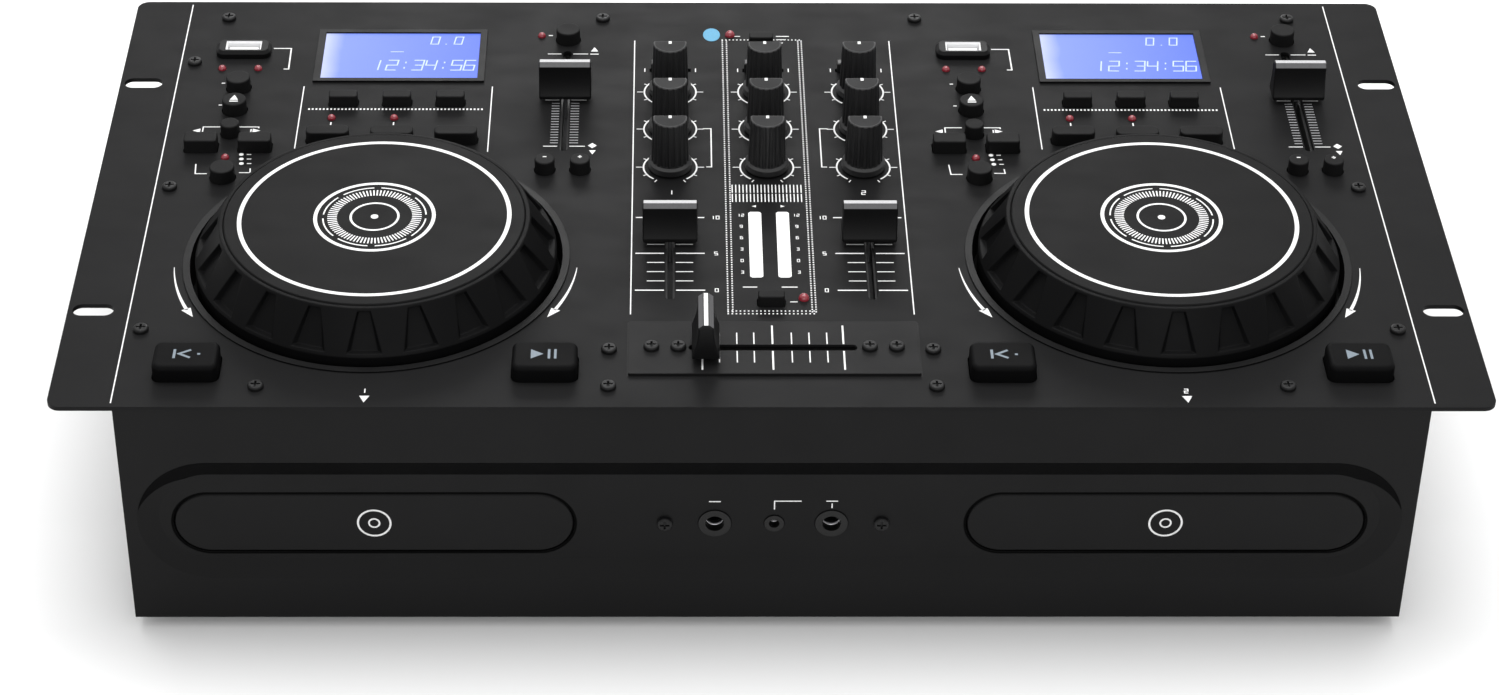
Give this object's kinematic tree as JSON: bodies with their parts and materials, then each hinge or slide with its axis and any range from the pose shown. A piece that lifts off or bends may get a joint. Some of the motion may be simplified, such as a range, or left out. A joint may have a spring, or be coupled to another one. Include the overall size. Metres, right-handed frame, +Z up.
{
  "type": "dual disc player and mixer console",
  "caption": "Rack-width tabletop console with disc trays behind the front, two jog wheels, pitch faders, displays and a centre mixer with knobs, level faders and a crossfader.",
  "frame": {"origin": "on the surface the feet stand on, under the middle of the top panel", "axes": "+X to the right and +Y to the rear as the player sees it, +Z up"},
  "size_m": [0.4826, 0.2604, 0.1192],
  "materials": {
    "panel": "fine dark grey powder coat",
    "chassis": "satin black",
    "face": "satin black",
    "well": "black moulded plastic",
    "jog": "dark grey moulded plastic",
    "jog_plate": "dark anodised disc with printed rings",
    "cap": "dark grey plastic",
    "key": "dark grey moulded key",
    "start_key": "dark grey key with a lit mark",
    "knob": "soft black knob with grey top",
    "lever": "black plastic",
    "display": "blue lit window",
    "socket": "black plastic",
    "jack": "black plastic sockets",
    "rear": "black plastic sockets",
    "tray": "black moulded tray",
    "door": "satin black front",
    "gear": "white nylon",
    "mechanism": "plated steel frame",
    "board": "green laminate with fittings",
    "screw": "black oxide",
    "foot": "black rubber",
    "rocker": "black rocker"
  },
  "bodies": {
    "cabinet": {"top_panel": "panel", "chassis": "chassis", "front_panel": "face", "crossfader_plate": "panel", "jog_wells": "well", "displays_and_lamps": "display", "usb_sockets": "socket", "front_jacks": "jack", "rear_sockets": "rear", "circuit_boards": "board", "disc_mechanisms": "mechanism", "screws": "screw", "feet": "foot"},
    "jog_1": {"jog_wheel_1": "jog", "jog_plate_1": "jog_plate"},
    "pitch_fader_1": {"pitch_fader_1": "cap"},
    "tray_1": {"tray_1": "tray", "tray_door_1": "door"},
    "loading_gear_1": {"loading_gear_1": "gear"},
    "cue_key_1": {"cue_key_1": "start_key"},
    "play_key_1": {"play_key_1": "start_key"},
    "select_key_1": {"select_key_1": "key"},
    "eject_key_1": {"eject_key_1": "key"},
    "jog_mode_key_1": {"jog_mode_key_1": "key"},
    "pitch_key_1": {"pitch_key_1": "key"},
    "track_keys_1": {"track_keys_1": "key"},
    "display_keys_1": {"display_keys_1": "key"},
    "loop_keys_1": {"loop_keys_1": "key"},
    "bend_keys_1": {"bend_keys_1": "key"},
    "channel_fader_1": {"channel_fader_1": "cap"},
    "jog_2": {"jog_wheel_2": "jog", "jog_plate_2": "jog_plate"},
    "pitch_fader_2": {"pitch_fader_2": "cap"},
    "tray_2": {"tray_2": "tray", "tray_door_2": "door"},
    "loading_gear_2": {"loading_gear_2": "gear"},
    "cue_key_2": {"cue_key_2": "start_key"},
    "play_key_2": {"play_key_2": "start_key"},
    "select_key_2": {"select_key_2": "key"},
    "eject_key_2": {"eject_key_2": "key"},
    "jog_mode_key_2": {"jog_mode_key_2": "key"},
    "pitch_key_2": {"pitch_key_2": "key"},
    "track_keys_2": {"track_keys_2": "key"},
    "display_keys_2": {"display_keys_2": "key"},
    "loop_keys_2": {"loop_keys_2": "key"},
    "bend_keys_2": {"bend_keys_2": "key"},
    "channel_fader_2": {"channel_fader_2": "cap"},
    "knob_left_top": {"knob_left_top": "knob"},
    "knob_left_middle": {"knob_left_middle": "knob"},
    "knob_left_bottom": {"knob_left_bottom": "knob"},
    "knob_middle_top": {"knob_middle_top": "knob"},
    "knob_middle_middle": {"knob_middle_middle": "knob"},
    "knob_middle_bottom": {"knob_middle_bottom": "knob"},
    "knob_right_top": {"knob_right_top": "knob"},
    "knob_right_middle": {"knob_right_middle": "knob"},
    "knob_right_bottom": {"knob_right_bottom": "knob"},
    "crossfader": {"crossfader": "cap"},
    "mixer_keys": {"mixer_keys": "key"},
    "source_levers": {"source_levers": "lever"},
    "power_rocker": {"power_rocker": "rocker"}
  },
  "joints": [
    {"name": "jog_1_spin", "type": "hinge", "parent": "cabinet", "child": "jog_1", "pos_m": [-0.1372, -0.04365, 0.09], "axis": [0, 0, 1], "continuous": true},
    {"name": "pitch_fader_1_slide", "type": "slide", "parent": "cabinet", "child": "pitch_fader_1", "axis": [0, 1, 0], "range_m": [-0.0318, 0.0282]},
    {"name": "tray_1_slide", "type": "slide", "parent": "cabinet", "child": "tray_1", "axis": [0, -1, 0], "range_m": [0, 0.135]},
    {"name": "loading_gear_1_turn", "type": "hinge", "parent": "cabinet", "child": "loading_gear_1", "pos_m": [-0.1777, -0.10305, 0.04], "axis": [0, 0, 1], "range_deg": [-2, 650]},
    {"name": "cue_key_1_press", "type": "slide", "parent": "cabinet", "child": "cue_key_1", "axis": [0, 0, -1], "range_m": [0, 0.0015], "stiffness_N_per_m": 300, "springref_m": -0.0005},
    {"name": "play_key_1_press", "type": "slide", "parent": "cabinet", "child": "play_key_1", "axis": [0, 0, -1], "range_m": [0, 0.0015], "stiffness_N_per_m": 300, "springref_m": -0.0005},
    {"name": "select_key_1_press", "type": "slide", "parent": "cabinet", "child": "select_key_1", "axis": [0, 0, -1], "range_m": [0, 0.001], "stiffness_N_per_m": 300, "springref_m": -0.0005},
    {"name": "eject_key_1_press", "type": "slide", "parent": "cabinet", "child": "eject_key_1", "axis": [0, 0, -1], "range_m": [0, 0.001], "stiffness_N_per_m": 300, "springref_m": -0.0005},
    {"name": "jog_mode_key_1_press", "type": "slide", "parent": "cabinet", "child": "jog_mode_key_1", "axis": [0, 0, -1], "range_m": [0, 0.001], "stiffness_N_per_m": 300, "springref_m": -0.0005},
    {"name": "pitch_key_1_press", "type": "slide", "parent": "cabinet", "child": "pitch_key_1", "axis": [0, 0, -1], "range_m": [0, 0.001], "stiffness_N_per_m": 300, "springref_m": -0.0005},
    {"name": "track_keys_1_press", "type": "slide", "parent": "cabinet", "child": "track_keys_1", "axis": [0, 0, -1], "range_m": [0, 0.001], "stiffness_N_per_m": 300, "springref_m": -0.0005},
    {"name": "display_keys_1_press", "type": "slide", "parent": "cabinet", "child": "display_keys_1", "axis": [0, 0, -1], "range_m": [0, 0.001], "stiffness_N_per_m": 300, "springref_m": -0.0005},
    {"name": "loop_keys_1_press", "type": "slide", "parent": "cabinet", "child": "loop_keys_1", "axis": [0, 0, -1], "range_m": [0, 0.001], "stiffness_N_per_m": 300, "springref_m": -0.0005},
    {"name": "bend_keys_1_press", "type": "slide", "parent": "cabinet", "child": "bend_keys_1", "axis": [0, 0, -1], "range_m": [0, 0.001], "stiffness_N_per_m": 300, "springref_m": -0.0005},
    {"name": "channel_fader_1_slide", "type": "slide", "parent": "cabinet", "child": "channel_fader_1", "axis": [0, 1, 0], "range_m": [-0.032, 0.014]},
    {"name": "jog_2_spin", "type": "hinge", "parent": "cabinet", "child": "jog_2", "pos_m": [0.1372, -0.04365, 0.09], "axis": [0, 0, 1], "continuous": true},
    {"name": "pitch_fader_2_slide", "type": "slide", "parent": "cabinet", "child": "pitch_fader_2", "axis": [0, 1, 0], "range_m": [-0.0318, 0.0282]},
    {"name": "tray_2_slide", "type": "slide", "parent": "cabinet", "child": "tray_2", "axis": [0, -1, 0], "range_m": [0, 0.135]},
    {"name": "loading_gear_2_turn", "type": "hinge", "parent": "cabinet", "child": "loading_gear_2", "pos_m": [0.0927, -0.10305, 0.04], "axis": [0, 0, 1], "range_deg": [-2, 650]},
    {"name": "cue_key_2_press", "type": "slide", "parent": "cabinet", "child": "cue_key_2", "axis": [0, 0, -1], "range_m": [0, 0.0015], "stiffness_N_per_m": 300, "springref_m": -0.0005},
    {"name": "play_key_2_press", "type": "slide", "parent": "cabinet", "child": "play_key_2", "axis": [0, 0, -1], "range_m": [0, 0.0015], "stiffness_N_per_m": 300, "springref_m": -0.0005},
    {"name": "select_key_2_press", "type": "slide", "parent": "cabinet", "child": "select_key_2", "axis": [0, 0, -1], "range_m": [0, 0.001], "stiffness_N_per_m": 300, "springref_m": -0.0005},
    {"name": "eject_key_2_press", "type": "slide", "parent": "cabinet", "child": "eject_key_2", "axis": [0, 0, -1], "range_m": [0, 0.001], "stiffness_N_per_m": 300, "springref_m": -0.0005},
    {"name": "jog_mode_key_2_press", "type": "slide", "parent": "cabinet", "child": "jog_mode_key_2", "axis": [0, 0, -1], "range_m": [0, 0.001], "stiffness_N_per_m": 300, "springref_m": -0.0005},
    {"name": "pitch_key_2_press", "type": "slide", "parent": "cabinet", "child": "pitch_key_2", "axis": [0, 0, -1], "range_m": [0, 0.001], "stiffness_N_per_m": 300, "springref_m": -0.0005},
    {"name": "track_keys_2_press", "type": "slide", "parent": "cabinet", "child": "track_keys_2", "axis": [0, 0, -1], "range_m": [0, 0.001], "stiffness_N_per_m": 300, "springref_m": -0.0005},
    {"name": "display_keys_2_press", "type": "slide", "parent": "cabinet", "child": "display_keys_2", "axis": [0, 0, -1], "range_m": [0, 0.001], "stiffness_N_per_m": 300, "springref_m": -0.0005},
    {"name": "loop_keys_2_press", "type": "slide", "parent": "cabinet", "child": "loop_keys_2", "axis": [0, 0, -1], "range_m": [0, 0.001], "stiffness_N_per_m": 300, "springref_m": -0.0005},
    {"name": "bend_keys_2_press", "type": "slide", "parent": "cabinet", "child": "bend_keys_2", "axis": [0, 0, -1], "range_m": [0, 0.001], "stiffness_N_per_m": 300, "springref_m": -0.0005},
    {"name": "channel_fader_2_slide", "type": "slide", "parent": "cabinet", "child": "channel_fader_2", "axis": [0, 1, 0], "range_m": [-0.032, 0.014]},
    {"name": "knob_left_top_turn", "type": "hinge", "parent": "cabinet", "child": "knob_left_top", "pos_m": [-0.0343, 0.065, 0.1], "axis": [0, 0, 1], "range_deg": [-150, 150]},
    {"name": "knob_left_middle_turn", "type": "hinge", "parent": "cabinet", "child": "knob_left_middle", "pos_m": [-0.0343, 0.0394, 0.1], "axis": [0, 0, 1], "range_deg": [-150, 150]},
    {"name": "knob_left_bottom_turn", "type": "hinge", "parent": "cabinet", "child": "knob_left_bottom", "pos_m": [-0.0343, 0.0139, 0.1], "axis": [0, 0, 1], "range_deg": [-150, 150]},
    {"name": "knob_middle_top_turn", "type": "hinge", "parent": "cabinet", "child": "knob_middle_top", "pos_m": [0.0009, 0.065, 0.1], "axis": [0, 0, 1], "range_deg": [-150, 150]},
    {"name": "knob_middle_middle_turn", "type": "hinge", "parent": "cabinet", "child": "knob_middle_middle", "pos_m": [0.0009, 0.0394, 0.1], "axis": [0, 0, 1], "range_deg": [-150, 150]},
    {"name": "knob_middle_bottom_turn", "type": "hinge", "parent": "cabinet", "child": "knob_middle_bottom", "pos_m": [0.0009, 0.0139, 0.1], "axis": [0, 0, 1], "range_deg": [-150, 150]},
    {"name": "knob_right_top_turn", "type": "hinge", "parent": "cabinet", "child": "knob_right_top", "pos_m": [0.0361, 0.065, 0.1], "axis": [0, 0, 1], "range_deg": [-150, 150]},
    {"name": "knob_right_middle_turn", "type": "hinge", "parent": "cabinet", "child": "knob_right_middle", "pos_m": [0.0361, 0.0394, 0.1], "axis": [0, 0, 1], "range_deg": [-150, 150]},
    {"name": "knob_right_bottom_turn", "type": "hinge", "parent": "cabinet", "child": "knob_right_bottom", "pos_m": [0.0361, 0.0139, 0.1], "axis": [0, 0, 1], "range_deg": [-150, 150]},
    {"name": "crossfader_slide", "type": "slide", "parent": "cabinet", "child": "crossfader", "axis": [1, 0, 0], "range_m": [-0.0012, 0.0468]},
    {"name": "mixer_keys_press", "type": "slide", "parent": "cabinet", "child": "mixer_keys", "axis": [0, 0, -1], "range_m": [0, 0.001], "stiffness_N_per_m": 300, "springref_m": -0.0005},
    {"name": "source_levers_slide", "type": "slide", "parent": "cabinet", "child": "source_levers", "axis": [1, 0, 0], "range_m": [0, 0.01]},
    {"name": "power_rocker_tip", "type": "hinge", "parent": "cabinet", "child": "power_rocker", "pos_m": [0.142, 0.12015, 0.048], "axis": [1, 0, 0], "range_deg": [0, 18]}
  ],
  "couplings": [
    {"joint": "loading_gear_1_turn", "follows": "tray_1_slide", "rad_per_m": 83.333},
    {"joint": "loading_gear_2_turn", "follows": "tray_2_slide", "rad_per_m": 83.333}
  ]
}
